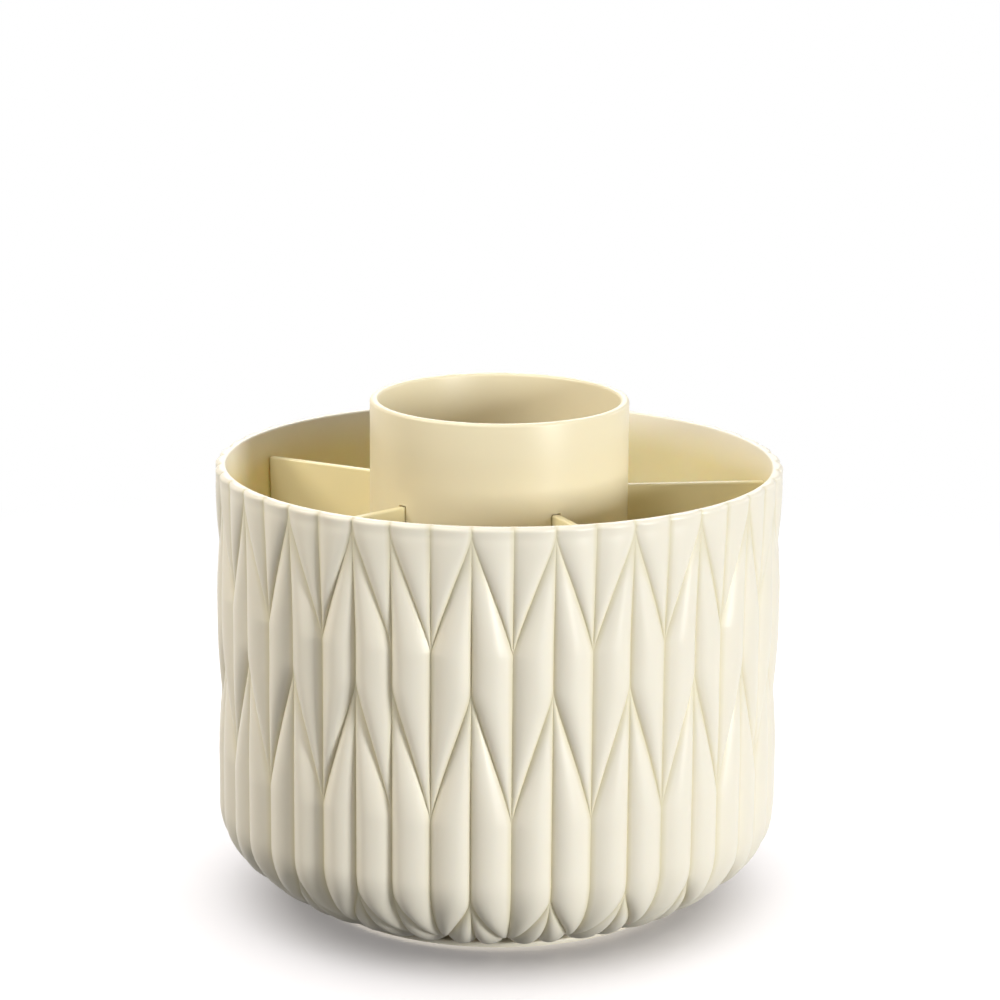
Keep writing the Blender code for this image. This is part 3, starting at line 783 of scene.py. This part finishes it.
def build_cup_mesh(cup, insert):
    form = CupForm(cup)
    mesher = CupMesher(form)
    mesh = mesher.mesh
    levels = form.levels()
    rows = [None, *form.rows, None]
    for column in range(cup.columns):
        for grow, shrink in zip(rows, rows[1:]):
            mesher.leaf(column, levels, grow, shrink)
    bmesh.ops.remove_doubles(mesh, verts=mesh.verts[:], dist=WELD_DISTANCE)
    top_line = mesher.open_ring(lambda z: z > cup.rim_height - WELD_DISTANCE)
    foot_line = mesher.open_ring(lambda z: z < cup.rim_height / 2)

    inside = mesher.rings(inner_profile(cup, insert))
    for ring in inside[INSIDE_FROM_RING:]:
        for vert in ring:
            vert[mesher.inside_layer] = 1.0
    mesher.join(top_line, inside[0])
    mesh.faces.new(inside[-1])

    under = mesher.rings(under_profile(cup))
    middle = []
    for vert, cap in zip(foot_line, under[0]):
        place = vert.co.lerp(cap.co, 0.5)
        place.z = vert.co.z + (cap.co.z - vert.co.z) * MIDDLE_RISE
        middle.append(mesher.vertex(place, vert[mesher.crown_layer], vert[mesher.valley_layer]))
    mesher.join(foot_line, middle)
    mesher.join(middle, under[0])
    mesh.faces.new(under[-1])

    for edge in mesh.edges:
        first, second = edge.verts
        edge.smooth = not (first[mesher.valley_layer] and second[mesher.valley_layer])
    bmesh.ops.recalc_face_normals(mesh, faces=mesh.faces[:])
    for face in mesh.faces:
        face.smooth = True
    return mesh


class BRUSHHOLDER_OT_cup(bpy.types.Operator):
    """Build the cup with its leaf relief, rim land, floor and skirt"""
    bl_idname = "brush_holder.cup"
    bl_label = "Cup"

    def execute(self, context):
        cup = context.scene.brush_holder_cup
        colours = context.scene.brush_holder_colours
        piece = piece_of("ivory_cup", build_cup_mesh(cup, context.scene.brush_holder_insert))
        places = round_places(context.scene.brush_holder_base.screw_circle, SCREW_COUNT)
        cut(piece, rods(places, SCREW_BOSS_RADIUS, SCREW_BOSS_END,
                        cup.floor_underside + BOSS_ROOT, 32), "UNION")
        cut(piece, rods(places, SCREW_HOLE_RADIUS, SCREW_HOLE_END,
                        cup.floor_top - HOLE_CEILING, 24))
        material = moulded_plastic("Ivory plastic, cup", colours.shell, 0.36, colours.valley,
                                   colours.painted_bounce)
        give(piece, material, CUP_BODY, "ivory_shell", "outer_shell")
        return {"FINISHED"}


# The insert

TUBE_BANDS = 12  # bands of mesh up the tube's wall


def divider_turns(insert):
    return [FULL_TURN * (i / insert.divider_count + insert.divider_turn)
            for i in range(insert.divider_count)]


class BRUSHHOLDER_OT_tube(bpy.types.Operator):
    """Build the tall central tube with its rounded rim and divider slots"""
    bl_idname = "brush_holder.tube"
    bl_label = "Central tube"

    def execute(self, context):
        insert = context.scene.brush_holder_insert
        bottom, top = bottom_of("centre_tube"), insert.tube_top
        inner, outer = insert.tube_radius, insert.tube_radius + insert.tube_wall
        edge = insert.tube_round
        heights = [top - edge + (bottom - top) * i / TUBE_BANDS for i in range(1, TUBE_BANDS)]
        tube = turned("central_tube", [*corner(inner, top, edge, BORE_TO_TOP, 6),
                                       *corner(outer, top, edge, TOP_TO_SIDE, 6),
                                       *((outer, z) for z in heights),
                                       (outer, bottom), (inner, bottom),
                                       *((inner, z) for z in reversed(heights))], steps=240)
        slot_high = insert.divider_top + insert.gap
        slot_low = bottom - OVERSHOOT
        centre = (outer - insert.divider_slot + OVERSHOOT / 2, 0, (slot_low + slot_high) / 2)
        size = (OVERSHOOT, insert.divider_thickness + 2 * insert.gap, slot_high - slot_low)
        cut(tube, [block(size, centre, turn) for turn in divider_turns(insert)])
        shade_round(tube)
        material = moulded_plastic("Ivory plastic, tube",
                                   context.scene.brush_holder_colours.insert, 0.34)
        give(tube, material, CUP_BODY, "ivory_insert", "centre_tube")
        return {"FINISHED"}


class BRUSHHOLDER_OT_dividers(bpy.types.Operator):
    """Build the divider panels between the tube and the cup's wall"""
    bl_idname = "brush_holder.dividers"
    bl_label = "Divider panels"

    def outline(self, cup, insert):
        _, lower, corner_top = inner_wall(cup)
        slope = cup.wall_draft / (cup.rim_height - corner_top)
        inner_r = insert.tube_radius + insert.tube_wall - insert.divider_slot + insert.gap
        outer_r = lower + slope * (insert.divider_top - corner_top) - insert.gap
        return [(inner_r, insert.divider_top), (outer_r, insert.divider_top),
                *arc(lower - cup.inner_corner, corner_top, cup.inner_corner - insert.gap,
                     0, -90, 16),
                (inner_r, cup.floor_top + insert.gap)]

    def execute(self, context):
        insert = context.scene.brush_holder_insert
        material = moulded_plastic("Ivory plastic, dividers",
                                   context.scene.brush_holder_colours.divider, 0.34)
        outline = self.outline(context.scene.brush_holder_cup, insert)
        half = insert.divider_thickness / 2
        for i, turn in enumerate(divider_turns(insert), 1):
            mesh = bmesh.new()
            front = [mesh.verts.new((r, -half, z)) for r, z in outline]
            back = [mesh.verts.new((r, half, z)) for r, z in outline]
            mesh.faces.new(front)
            mesh.faces.new(list(reversed(back)))
            for j in range(len(outline)):
                k = (j + 1) % len(outline)
                mesh.faces.new((front[j], back[j], back[k], front[k]))
            bmesh.ops.transform(mesh, matrix=Matrix.Rotation(turn, 4, "Z"), verts=mesh.verts[:])
            bmesh.ops.recalc_face_normals(mesh, faces=mesh.faces[:])
            panel = piece_of("ivory_divider_%d" % i, mesh)
            soften(panel, insert.divider_round, 4)
            shade_round(panel, PANEL_EDGE_ANGLE)
            give(panel, material, CUP_BODY, "ivory_insert", "divider_panel_%d" % i)
        return {"FINISHED"}


# The base and the ball race

BALL_PLAY = 0.0003  # room round a ball in its groove and in the cage
FOOT_PLAY, POCKET_DEPTH = 0.0003, 0.0008
FOOT_GROOVES = (0.78, 0.52, 0.26)  # shares of the foot's radius
GROOVE_TOP, GROOVE_FLOOR, GROOVE_DEPTH = 0.00015, 0.00008, 0.0001  # half widths and depth
CAGE_HALF_WIDTH, CAGE_EDGE = 0.0036, 0.00025
TURNTABLE_PLAY = 0.002  # room between the hub and the turntable ring


def race_groove(base, surface):
    """Arc that the balls' groove makes in a flat surface above or below them."""
    radius = base.ball_radius + BALL_PLAY
    half = math.degrees(math.acos(abs(surface - base.ball_height) / radius))
    middle = 90 if surface > base.ball_height else -90
    return arc(base.race_radius, base.ball_height, radius, middle - half, middle + half, 12)


def foot_places(base):
    return round_places(base.foot_circle, base.foot_count, 1 / (2 * base.foot_count))


class BRUSHHOLDER_OT_base_plate(bpy.types.Operator):
    """Build the round base plate with its flange, hub, race groove and foot pockets"""
    bl_idname = "brush_holder.base_plate"
    bl_label = "Base plate"

    def execute(self, context):
        base = context.scene.brush_holder_base
        hub, top, bottom = base.hub_web_high, base.plate_top, base.underside
        plate = turned("round_base_plate", [
            (base.bore, hub - SOFT_EDGE), (base.bore + SOFT_EDGE, hub),
            *corner(base.hub_radius, hub, SOFT_EDGE, TOP_TO_SIDE),
            *corner(base.hub_radius, top, SOFT_EDGE, WALL_TO_FLOOR),
            *race_groove(base, top),
            *corner(base.plateau_radius, top, SOFT_EDGE, TOP_TO_SIDE),
            (base.plateau_radius, base.flange_top),
            *corner(base.radius, base.flange_top, base.edge_round, TOP_TO_SIDE, 5),
            *corner(base.radius, bottom, SOFT_EDGE, SIDE_TO_UNDERSIDE),
            *corner(base.hub_recess, bottom, SOFT_EDGE, UNDERSIDE_TO_BORE),
            (base.hub_recess, base.hub_web_low), (base.bore, base.hub_web_low)], steps=240)
        cut(plate, rods(foot_places(base), base.foot_radius + FOOT_PLAY, bottom - OVERSHOOT,
                        bottom + POCKET_DEPTH, 64))
        shade_round(plate)
        material = moulded_plastic("Ivory plastic, base",
                                   context.scene.brush_holder_colours.base, 0.42)
        give(plate, material, BASE_BODY, "ivory_base", "base_plate")
        return {"FINISHED"}


class BRUSHHOLDER_OT_feet(bpy.types.Operator):
    """Build the rubber feet in their pockets"""
    bl_idname = "brush_holder.feet"
    bl_label = "Rubber feet"

    def execute(self, context):
        base = context.scene.brush_holder_base
        material = foot_rubber("Grey rubber", context.scene.brush_holder_colours.rubber)
        top = top_of("rubber_foot_1")
        profile = [(0, top), *corner(base.foot_radius, top, SOFT_EDGE, TOP_TO_SIDE),
                   *corner(base.foot_radius, 0, SOFT_EDGE, SIDE_TO_UNDERSIDE, 4)]
        for share in FOOT_GROOVES:
            r = base.foot_radius * share
            profile += [(r + GROOVE_TOP, 0), (r + GROOVE_FLOOR, GROOVE_DEPTH),
                        (r - GROOVE_FLOOR, GROOVE_DEPTH), (r - GROOVE_TOP, 0)]
        profile.append((0, 0))
        for i, (x, y) in enumerate(foot_places(base), 1):
            foot = turned("ribbed_foot_%d" % i, profile, steps=64, closed=False)
            foot.data.transform(Matrix.Translation((x, y, 0)))
            shade_round(foot)
            give(foot, material, BASE_BODY, "grey_rubber", "rubber_foot_%d" % i)
        return {"FINISHED"}


class BRUSHHOLDER_OT_turntable(bpy.types.Operator):
    """Build the flat ring that is screwed under the cup and holds the upper race"""
    bl_idname = "brush_holder.turntable"
    bl_label = "Turntable plate"

    def execute(self, context):
        base = context.scene.brush_holder_base
        bottom, top = bottom_of("turntable_plate"), top_of("turntable_plate")
        section = ring_section(base.hub_radius + TURNTABLE_PLAY, base.plateau_radius, bottom, top,
                               SOFT_EDGE, groove=race_groove(base, bottom))
        plate = turned("turntable_ring", section, steps=180)
        cut(plate, rods(round_places(base.screw_circle, SCREW_COUNT), SCREW_HOLE_RADIUS,
                        bottom - OVERSHOOT, top + OVERSHOOT, 32))
        shade_round(plate)
        material = plain_plastic("White plastic", context.scene.brush_holder_colours.turntable,
                                 0.45, 1400.0, 0.00003)
        give(plate, material, CUP_BODY, "white_plastic", "turntable_plate")
        return {"FINISHED"}


class BRUSHHOLDER_OT_ball_race(bpy.types.Operator):
    """Build the ball cage and its polished balls"""
    bl_idname = "brush_holder.ball_race"
    bl_label = "Ball race"

    def execute(self, context):
        base = context.scene.brush_holder_base
        colours = context.scene.brush_holder_colours
        bottom, top = bottom_of("ball_cage"), top_of("ball_cage")
        places = round_places(base.race_radius, base.ball_count)
        section = ring_section(base.race_radius - CAGE_HALF_WIDTH,
                               base.race_radius + CAGE_HALF_WIDTH, bottom, top, CAGE_EDGE)
        cage = turned("nylon_ball_cage", section, steps=180)
        drop_slivers(cut(cage, rods(places, base.ball_radius + BALL_PLAY, bottom - OVERSHOOT,
                                    top + OVERSHOOT, 32)))
        shade_round(cage)
        nylon = plain_plastic("Natural nylon", colours.cage, 0.42, 900.0, 0.00002)
        give(cage, nylon, RACE_BODY, "natural_nylon", "ball_cage")
        steel = bearing_steel("Bearing steel", colours.steel)
        for i, (x, y) in enumerate(places, 1):
            bpy.ops.mesh.primitive_uv_sphere_add(segments=40, ring_count=20,
                                                 radius=base.ball_radius)
            ball = bpy.context.object
            ball.name = "steel_ball_%02d" % i
            ball.data.transform(Matrix.Translation((x, y, base.ball_height)))
            shade_round(ball, 60)
            give(ball, steel, RACE_BODY, "polished_steel", "bearing_ball_%02d" % i)
        return {"FINISHED"}


ScrewKind = namedtuple("ScrewKind", "shank head head_height")
PIVOT_SCREW = ScrewKind(0.0016, 0.0036, 0.0016)
PLATE_SCREW = ScrewKind(0.0013, 0.0028, 0.0015)
THREAD_PITCH = 0.0006
THREAD_CREST = (0.42, 0.58)  # shares of the pitch between which the thread is full
THREAD_ROOT, TIP_FLAT = 0.82, 0.4  # shares of the shank's radius and of the root's
HEAD_ROUND, HEAD_EDGE = 0.0007, 0.0001
RECESS_WIDTH, RECESS_DEPTH, RECESS_SHARE = 0.0007, 0.0014, 0.62
WASHER_BORE, WASHER_EDGE = 0.0019, 0.00012


class BRUSHHOLDER_OT_screws(bpy.types.Operator):
    """Build the pivot screw with its washer and the three plate screws"""
    bl_idname = "brush_holder.screws"
    bl_label = "Screws and washer"

    def screw(self, name, node, kind, material):
        """Pan-head screw, head down, with a rolled thread and a cross recess."""
        lower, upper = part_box(node)
        x, y = (lower.x + upper.x) / 2, (lower.y + upper.y) / 2
        shank, head = kind.shank, kind.head
        head_top = lower.z + kind.head_height
        root = shank * THREAD_ROOT
        thread_end = upper.z - shank
        profile = [(0, upper.z), (root * TIP_FLAT, upper.z), (root, thread_end)]
        for i in range(int((thread_end - head_top) / THREAD_PITCH)):
            z = thread_end - THREAD_PITCH * i
            profile += [(shank, z - THREAD_PITCH * THREAD_CREST[0]),
                        (shank, z - THREAD_PITCH * THREAD_CREST[1]), (root, z - THREAD_PITCH)]
        profile += [(root, head_top), (head - HEAD_EDGE, head_top), (head, head_top - HEAD_EDGE)]
        profile += arc(head - HEAD_ROUND, lower.z + HEAD_ROUND, HEAD_ROUND, 0, -60, 5)
        profile += [(head * 0.5, lower.z + 0.00004), (0, lower.z)]
        piece = turned(name, profile, steps=48, closed=False)
        size = (2 * head * RECESS_SHARE, RECESS_WIDTH, RECESS_DEPTH)
        drop_slivers(cut(piece, [block(size, (0, 0, lower.z), turn) for turn in (0, math.pi / 2)]))
        piece.data.transform(Matrix.Translation((x, y, 0)))
        shade_round(piece, 30)
        give(piece, material, CUP_BODY, "zinc_screw", node)

    def execute(self, context):
        material = zinc_plate("Zinc plated steel", context.scene.brush_holder_colours.zinc)
        self.screw("zinc_pivot_screw", "pivot_screw", PIVOT_SCREW, material)
        for i in range(1, SCREW_COUNT + 1):
            self.screw("zinc_plate_screw_%d" % i, "plate_screw_%d" % i, PLATE_SCREW, material)
        lower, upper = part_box("pivot_washer")
        section = ring_section(WASHER_BORE, upper.x, lower.z, upper.z, WASHER_EDGE, bore_steps=2)
        washer = turned("zinc_washer", section, steps=96)
        shade_round(washer)
        give(washer, material, CUP_BODY, "zinc_screw", "pivot_washer")
        return {"FINISHED"}


# The studio

# Each softbox is square and faces LIGHT_TARGET. Its place is given in degrees round the
# holder, from the front to the right, and in degrees above the horizon; sizes in metres.
Softbox = namedtuple("Softbox", "name power around rise distance width colour")
SOFTBOXES = (
    Softbox("Key light", "key_power", 45, 10, 1.0, 0.22, (0.99, 1.0, 0.985)),
    Softbox("Left light", "left_power", -85, 42, 1.0, 0.34, (1.0, 0.93, 0.80)),
    Softbox("Back light", "back_power", 125, 15, 1.0, 0.30, (1.0, 0.97, 0.90)),
    Softbox("Top light", "top_power", -50, 62, 1.0, 0.40, (1.0, 0.98, 0.94)),
    Softbox("Rear light", "rear_power", 180, 32, 1.0, 0.40, (1.0, 0.99, 0.97)),
)
UNDER_LIGHT = Softbox("Under light", "under_power", 0, -89, 0.60, 0.50, (1.0, 0.99, 0.97))
FLOOR_LIGHT = Softbox("Floor light", "floor_power", 180, 86, 0.80, 2.0, (1.0, 1.0, 1.0))
LIGHT_TARGET = Vector((0, 0, 0.06))
WHITE = (1, 1, 1)
SKY_TINT, GLOW_TINT, BOUNCE_TINT = (1.0, 0.995, 0.98), (1.0, 0.965, 0.955), (1.0, 1.0, 0.92)
FADE_START = 0.45  # share of the shadow's reach at which the floor starts to turn white
FLOOR_SIZE = 8
SENSOR_WIDTH = 36  # millimetres
CLIP_RANGE = (0.01, 20)
SEEN_FROM_BELOW = ("round_base_plate", "ribbed_foot", "zinc_")


def hang(box, studio, lit):
    """Hang a softbox that lights only the objects of one collection."""
    light = bpy.data.lights.new(box.name, "AREA")
    light.shape = "SQUARE"
    light.size = box.width
    light.energy = getattr(studio, box.power)
    light.color = box.colour
    lamp = add_to_scene(box.name, light)
    turn, lift = math.radians(box.around), math.radians(box.rise)
    away = Vector((math.cos(lift) * math.sin(turn), -math.cos(lift) * math.cos(turn),
                   math.sin(lift)))
    lamp.location = LIGHT_TARGET + away * box.distance
    lamp.rotation_euler = (-away).to_track_quat("-Z", "Y").to_euler()
    lamp.light_linking.receiver_collection = lit
    return lamp


def floor_material(studio):
    """Pale floor: white far off, it keeps the soft shadow near the holder and is clear
    from below. Light that bounces on from it is dimmed."""
    bench = NodeBench(bpy.data.materials.new("Studio floor"))
    bench.tree.nodes.clear()
    plain = bench.add("ShaderNodeBsdfDiffuse", {"Color": studio.floor_colour})[0]
    glow = bench.add("ShaderNodeEmission", {"Color": GLOW_TINT, "Strength": studio.floor_glow})[0]
    near = bench.add("ShaderNodeAddShader", {0: plain, 1: glow})[0]
    white = bench.add("ShaderNodeEmission", {"Color": WHITE, "Strength": 1.0})[0]
    place = bench.add("ShaderNodeTexCoord")["Object"]
    away = bench.add("ShaderNodeVectorMath", {0: place}, operation="LENGTH")["Value"]
    fade = bench.add("ShaderNodeMapRange", {"Value": away, "From Max": studio.shadow_reach,
                                            "From Min": studio.shadow_reach * FADE_START},
                     interpolation_type="SMOOTHSTEP")["Result"]
    bounce = [studio.floor_bounce * tint for tint in BOUNCE_TINT]
    dim = bench.add("ShaderNodeBsdfDiffuse", {"Color": bounce})[0]
    shown = bench.mix(bench.seen_or_mirrored(), dim, bench.mix(fade, near, white))
    clear = bench.add("ShaderNodeBsdfTransparent")[0]
    below = bench.add("ShaderNodeNewGeometry")["Backfacing"]
    bench.add("ShaderNodeOutputMaterial", {"Surface": bench.mix(below, shown, clear)})
    return bench.owner


def studio_world(strength):
    """White surround for the camera and for reflections, with a weak even light."""
    bench = NodeBench(bpy.data.worlds.new("Studio surround"))
    bench.tree.nodes.clear()
    even = bench.add("ShaderNodeBackground", {"Color": SKY_TINT, "Strength": strength})[0]
    white = bench.add("ShaderNodeBackground", {"Color": WHITE, "Strength": 1.0})[0]
    bench.add("ShaderNodeOutputWorld",
              {"Surface": bench.mix(bench.seen_or_mirrored(), even, white)})
    return bench.owner


class BRUSHHOLDER_OT_studio(bpy.types.Operator):
    """Set up the camera, the floor, the soft lights and the surround"""
    bl_idname = "brush_holder.studio"
    bl_label = "Studio"

    def execute(self, context):
        studio = context.scene.brush_holder_studio
        scene = context.scene
        camera = bpy.data.cameras.new("Studio camera")
        camera.lens = studio.lens
        camera.sensor_width = SENSOR_WIDTH
        camera.clip_start, camera.clip_end = CLIP_RANGE
        view = add_to_scene("Studio camera", camera)
        view.location = (studio.distance * math.sin(studio.around),
                         -studio.distance * math.cos(studio.around), studio.height)
        heading = Matrix.Rotation(studio.around + studio.aside, 4, "Z")
        level = Matrix.Rotation(math.radians(90) - studio.tilt, 4, "X")
        view.rotation_euler = (heading @ level @ Matrix.Rotation(studio.roll, 4, "Z")).to_euler()
        scene.camera = view

        bpy.ops.mesh.primitive_plane_add(size=FLOOR_SIZE)
        floor = bpy.context.object
        floor.name = "studio_floor"
        floor.data.materials.append(floor_material(studio))

        holder = bpy.data.collections.new("Lit by the softboxes")
        ground = bpy.data.collections.new("Lit by the floor light")
        ground.objects.link(floor)
        below = bpy.data.collections.new("Lit from below")
        for piece in scene.objects:
            if piece.type == "MESH" and piece is not floor:
                holder.objects.link(piece)
                if piece.name.startswith(SEEN_FROM_BELOW):
                    below.objects.link(piece)
        for box in SOFTBOXES:
            hang(box, studio, holder)
        hang(UNDER_LIGHT, studio, below).light_linking.blocker_collection = holder
        hang(FLOOR_LIGHT, studio, ground)
        scene.world = studio_world(studio.sky)
        scene.view_settings.view_transform = "Standard"
        return {"FINISHED"}


class BRUSHHOLDER_PT_panel(bpy.types.Panel):
    """Brush holder pieces in the 3D view's sidebar"""
    bl_idname = "BRUSHHOLDER_PT_panel"
    bl_label = "Brush Holder"
    bl_space_type = "VIEW_3D"
    bl_region_type = "UI"
    bl_category = "Brush Holder"

    def draw(self, context):
        layout = self.layout
        for name, group in PROPERTY_SETS:
            box = layout.box()
            box.label(text=name[len("brush_holder_"):].title())
            settings = getattr(context.scene, name)
            for key in group.__annotations__:
                box.prop(settings, key)
        column = layout.column(align=True)
        for operator in PIECE_OPERATORS:
            column.operator(operator.bl_idname, text=operator.bl_label)


PROPERTY_SETS = (
    ("brush_holder_cup", BrushHolderCup),
    ("brush_holder_insert", BrushHolderInsert),
    ("brush_holder_base", BrushHolderBase),
    ("brush_holder_colours", BrushHolderColours),
    ("brush_holder_studio", BrushHolderStudio),
)

PIECE_OPERATORS = (
    BRUSHHOLDER_OT_cup,
    BRUSHHOLDER_OT_tube,
    BRUSHHOLDER_OT_dividers,
    BRUSHHOLDER_OT_base_plate,
    BRUSHHOLDER_OT_feet,
    BRUSHHOLDER_OT_turntable,
    BRUSHHOLDER_OT_ball_race,
    BRUSHHOLDER_OT_screws,
    BRUSHHOLDER_OT_studio,
)


def register():
    for name, group in PROPERTY_SETS:
        bpy.utils.register_class(group)
        setattr(bpy.types.Scene, name, bpy.props.PointerProperty(type=group))
    for operator in PIECE_OPERATORS:
        bpy.utils.register_class(operator)
    bpy.utils.register_class(BRUSHHOLDER_PT_panel)


def unregister():
    bpy.utils.unregister_class(BRUSHHOLDER_PT_panel)
    for operator in reversed(PIECE_OPERATORS):
        bpy.utils.unregister_class(operator)
    for name, group in reversed(PROPERTY_SETS):
        delattr(bpy.types.Scene, name)
        bpy.utils.unregister_class(group)


def main():
    register()
    bpy.ops.brush_holder.cup()
    bpy.ops.brush_holder.tube()
    bpy.ops.brush_holder.dividers()
    bpy.ops.brush_holder.base_plate()
    bpy.ops.brush_holder.feet()
    bpy.ops.brush_holder.turntable()
    bpy.ops.brush_holder.ball_race()
    bpy.ops.brush_holder.screws()
    bpy.ops.brush_holder.studio()


if __name__ == "__main__":
    main()
